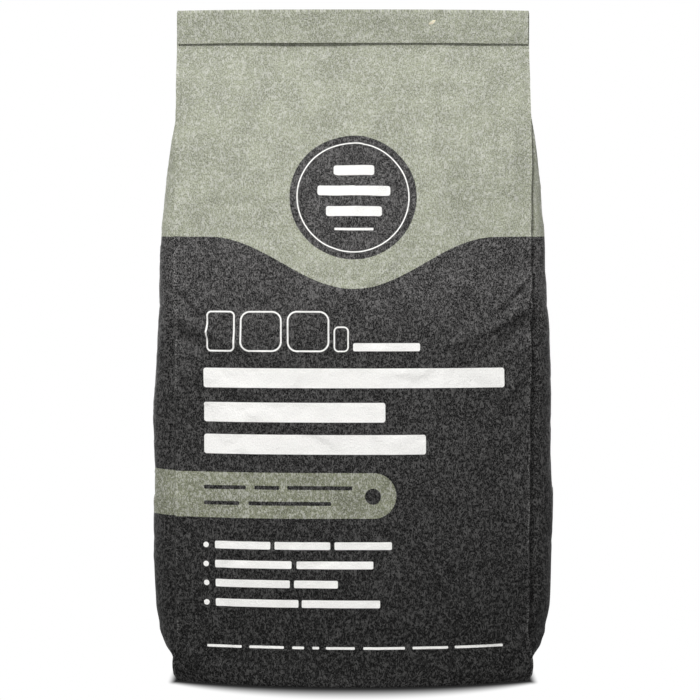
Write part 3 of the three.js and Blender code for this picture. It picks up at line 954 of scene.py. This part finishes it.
def build_glue(sizes, colours):
    """Two beads, pressed flat between flap and panel, uneven in width and thickness."""
    material = hot_melt(colours)
    for number, node in enumerate(GLUE_NODES):
        low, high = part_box(node)
        centre, half = (low + high) / 2, (high - low) / 2
        points = []
        for x in np.linspace(-half.x, half.x, BEAD["stations"]):
            end = math.sqrt(max(0.02, 1 - (abs(x) / half.x) ** BEAD["end_power"]))
            uneven = BEAD["swell"] * noise.noise(Vector((x * 45, number * 7.0, 0)))
            swell = end * (BEAD["thickness"] + uneven)
            drift = BEAD["drift"] * noise.noise(Vector((x * 20, number * 3.0, 5)))
            for k in range(BEAD["sides"]):
                turn = 2 * math.pi * k / BEAD["sides"]
                flattened = math.copysign(abs(math.sin(turn)) ** BEAD["flank_power"], math.sin(turn))
                points.append((x, half.y * end * BEAD["width"] * flattened,
                               half.z * swell * math.cos(turn) + drift))
        places = lean_back(np.array(points) + np.array(centre), sizes)
        piece = mesh_object(f"pressed_glue_bead_{number + 1}", places,
                            ring_faces(BEAD["stations"], BEAD["sides"]), material)
        close_ends(piece)
        claim(piece, "hot_melt_glue", node)


def build_charcoal(sizes, colours):
    """Each lump is its CAD block remeshed, then worn inwards by chips, ring ridges and cracks."""
    material = lump_charcoal(colours)
    for number, node in enumerate(LUMP_NODES):
        source = bpy.data.objects[node]
        piece = bpy.data.objects.new(f"lumpwood_charcoal_{number + 1:02d}", source.data.copy())
        bpy.context.scene.collection.objects.link(piece)
        remesh = piece.modifiers.new("even_faces", "REMESH")
        remesh.mode = "VOXEL"
        remesh.voxel_size = sizes.lump_grain
        even = bpy.data.meshes.new_from_object(piece.evaluated_get(bpy.context.evaluated_depsgraph_get()))
        piece.modifiers.clear()
        piece.data = even
        count = len(even.vertices)
        places, normals = np.empty(count * 3, np.float32), np.empty(count * 3, np.float32)
        even.vertices.foreach_get("co", places)
        even.vertex_normals.foreach_get("vector", normals)
        places, normals = places.reshape(-1, 3).astype(float), normals.reshape(-1, 3)
        seed = Vector((number * 1.7, number * 0.9, number * 2.3))
        (chip_size, chip), (crack_size, crack), (ridge_size, ridge) = LUMP_WEAR.values()
        chips = 1 - smooth_step(0.0, 0.6, field(places, chip_size, seed, "edges"))
        cracks = 1 - smooth_step(0.0, 0.16, field(places, crack_size, seed, "edges"))
        ridges = np.abs(field(places * LUMP_GRAIN_DRAW, ridge_size, seed))
        depth = LUMP_SKIN + chip * chips + crack * cracks + ridge * ridges
        even.vertices.foreach_set("co", (places - normals * depth[:, None] * MM).ravel())
        even.materials.clear()
        even.materials.append(material)
        even.polygons.foreach_set("use_smooth", [True] * len(even.polygons))
        even.set_sharp_from_angle(angle=math.radians(32))
        claim(piece, "charcoal", node)


# ------------------------------------------------------------------ stage


SACK_FOOT = {"half_width": 210 * MM, "half_depth": 62 * MM, "bulge": 47 * MM}     # outline on the floor
SHADOW_REACH = {"front": 38 * MM, "corner": 19 * MM, "side": 8 * MM}
SHADOW_FADE = (-0.05, 1.35, 0.02, 1.0)            # shares of the reach it fades between, and its tones
FLOOR_REACH = 40                # metres each way
FLOOR_GREY = 0.35               # how much light the table throws back up
SENSOR_WIDTH = 36               # millimetres
# Each light's name, the setting of its power, its size, its place and what it points at.
SOFTBOXES = (
    ("overhead_softbox", "key_power", (1.0, 0.8), (-1.3, -4.1, 4.6), (0, 0, 0.2)),
    ("side_softbox", "side_power", (1.6, 1.2), (2.3, -2.6, 0.9), (0, 0, 0.35)),
    ("backdrop_softbox", "back_power", (5.4, 1.8), (0, 2.2, 0.9), (0, 0, 0.4)),
)


def softbox(name, watts, size, place, target):
    data = bpy.data.lights.new(name, "AREA")
    data.shape = "RECTANGLE"
    data.energy = watts
    data.size, data.size_y = size
    light = bpy.data.objects.new(name, data)
    light.location = place
    light.rotation_euler = (Vector(target) - Vector(place)).to_track_quat("-Z", "Y").to_euler()
    bpy.context.scene.collection.objects.link(light)


def studio_camera(scene, stage):
    data = bpy.data.cameras.new("studio_camera")
    data.lens = stage.lens
    data.sensor_width = SENSOR_WIDTH
    camera = bpy.data.objects.new("studio_camera", data)
    camera.location = (stage.sideways, -stage.distance, stage.height)
    camera.rotation_euler = (math.pi / 2 - stage.pitch, 0, 0)
    scene.collection.objects.link(camera)
    scene.camera = camera


def white_floor():
    """A white light table: it looks white, throws little light back up, and carries a painted soft
    contact shadow of the sack, which reaches further to the front than to the sides."""
    material, tree = new_material("matt_white_floor")
    place = add(tree, "ShaderNodeSeparateXYZ", {0: object_place(tree)})
    beside = shade(tree, "ABSOLUTE", place.outputs[0])
    half = SACK_FOOT["half_width"]
    share = shade(tree, "DIVIDE", beside, half, clamp=True)
    bulge = minus(tree, 1, shade(tree, "POWER", share, CROWN_POWER))
    edge = plus(tree, times(tree, bulge, SACK_FOOT["bulge"]), SACK_FOOT["half_depth"])
    front_reach = plus(tree, times(tree, bulge, SHADOW_REACH["front"]), SHADOW_REACH["corner"])
    gaps = ((minus(tree, times(tree, place.outputs[1], -1), edge), front_reach),
            (minus(tree, place.outputs[1], edge), SHADOW_REACH["side"]),
            (minus(tree, beside, half), SHADOW_REACH["side"]))
    away = hypotenuse(tree, *(most(tree, shade(tree, "DIVIDE", gap, reach), 0) for gap, reach in gaps))
    seen = add(tree, "ShaderNodeLightPath").outputs["Is Camera Ray"]
    matt = add(tree, "ShaderNodeBsdfDiffuse", {"Color": (FLOOR_GREY, FLOOR_GREY, FLOOR_GREY, 1)})
    # Painted shadow: the glow that the camera sees is dimmed near the sack's foot.
    painted_shadow_glow = add(tree, "ShaderNodeEmission", {"Strength": ramp(tree, away, *SHADOW_FADE)})
    both = add(tree, "ShaderNodeMixShader", {0: seen, 1: matt.outputs[0], 2: painted_shadow_glow.outputs[0]})
    add(tree, "ShaderNodeOutputMaterial", {"Surface": both.outputs[0]})
    return material


def white_world(fill):
    """A room that looks white and lights the sack with the given strength."""
    world = bpy.data.worlds.new("studio_world")
    world.use_nodes = True
    tree = world.node_tree
    tree.nodes.clear()
    seen = add(tree, "ShaderNodeLightPath").outputs["Is Camera Ray"]
    strength = add(tree, "ShaderNodeMix", {0: seen, 2: fill, 3: 1.0}).outputs[0]
    background = add(tree, "ShaderNodeBackground", {"Color": (1, 1, 1, 1), "Strength": strength})
    add(tree, "ShaderNodeOutputWorld", {"Surface": background.outputs[0]})
    return world


def build_stage(stage):
    scene = bpy.context.scene
    studio_camera(scene, stage)
    corners = [(x * FLOOR_REACH, y * FLOOR_REACH, 0) for x, y in ((-1, -1), (1, -1), (1, 1), (-1, 1))]
    mesh_object("studio_floor", corners, [(0, 1, 2, 3)], white_floor())
    scene.world = white_world(stage.fill)
    scene.view_settings.view_transform = "Standard"
    for name, setting, size, place, target in SOFTBOXES:
        softbox(name, getattr(stage, setting), size, place, target)


# ------------------------------------------------------------------ add-on


class PieceOperator:
    """Builds one kind of piece from the scene's settings"""

    def execute(self, context):
        self.build(context.scene.sack_sizes, context.scene.sack_colours)
        return {"FINISHED"}


class SACK_OT_paper(PieceOperator, bpy.types.Operator):
    """Build the printed paper sack with its folded and glued mouth"""
    bl_idname = "sack.paper"
    bl_label = "Paper sack"
    build = staticmethod(build_sack)


class SACK_OT_bottom(PieceOperator, bpy.types.Operator):
    """Build the bottom's folds and the kraft patch glued over them"""
    bl_idname = "sack.bottom"
    bl_label = "Bottom patch and folds"
    build = staticmethod(build_patch)


class SACK_OT_glue(PieceOperator, bpy.types.Operator):
    """Build the two glue beads under the flap"""
    bl_idname = "sack.glue"
    bl_label = "Closure glue"
    build = staticmethod(build_glue)


class SACK_OT_charcoal(PieceOperator, bpy.types.Operator):
    """Build the lumps of charcoal inside the sack"""
    bl_idname = "sack.charcoal"
    bl_label = "Charcoal lumps"
    build = staticmethod(build_charcoal)


class SACK_OT_studio(bpy.types.Operator):
    """Build the floor, the camera and the softboxes"""
    bl_idname = "sack.studio"
    bl_label = "Studio"

    def execute(self, context):
        build_stage(context.scene.sack_stage)
        return {"FINISHED"}


OPERATORS = (SACK_OT_paper, SACK_OT_bottom, SACK_OT_glue, SACK_OT_charcoal, SACK_OT_studio)


class SACK_PT_panel(bpy.types.Panel):
    """Lists the sack's pieces in the sidebar"""
    bl_idname = "SACK_PT_panel"
    bl_label = "Charcoal Sack"
    bl_space_type = "VIEW_3D"
    bl_region_type = "UI"
    bl_category = "Sack"

    def draw(self, context):
        for operator in OPERATORS:
            self.layout.operator(operator.bl_idname)
        for group in (context.scene.sack_sizes, context.scene.sack_colours, context.scene.sack_stage):
            box = self.layout.box()
            for name in group.__annotations__:
                box.prop(group, name)


CLASSES = (SackSizes, SackColours, StageSettings) + OPERATORS + (SACK_PT_panel,)


def register():
    for cls in CLASSES:
        bpy.utils.register_class(cls)
    bpy.types.Scene.sack_sizes = PointerProperty(type=SackSizes)
    bpy.types.Scene.sack_colours = PointerProperty(type=SackColours)
    bpy.types.Scene.sack_stage = PointerProperty(type=StageSettings)


def unregister():
    del bpy.types.Scene.sack_stage
    del bpy.types.Scene.sack_colours
    del bpy.types.Scene.sack_sizes
    for cls in reversed(CLASSES):
        bpy.utils.unregister_class(cls)


def main():
    register()
    bpy.ops.sack.paper()
    bpy.ops.sack.bottom()
    bpy.ops.sack.glue()
    bpy.ops.sack.charcoal()
    bpy.ops.sack.studio()


if __name__ == "__main__":
    main()
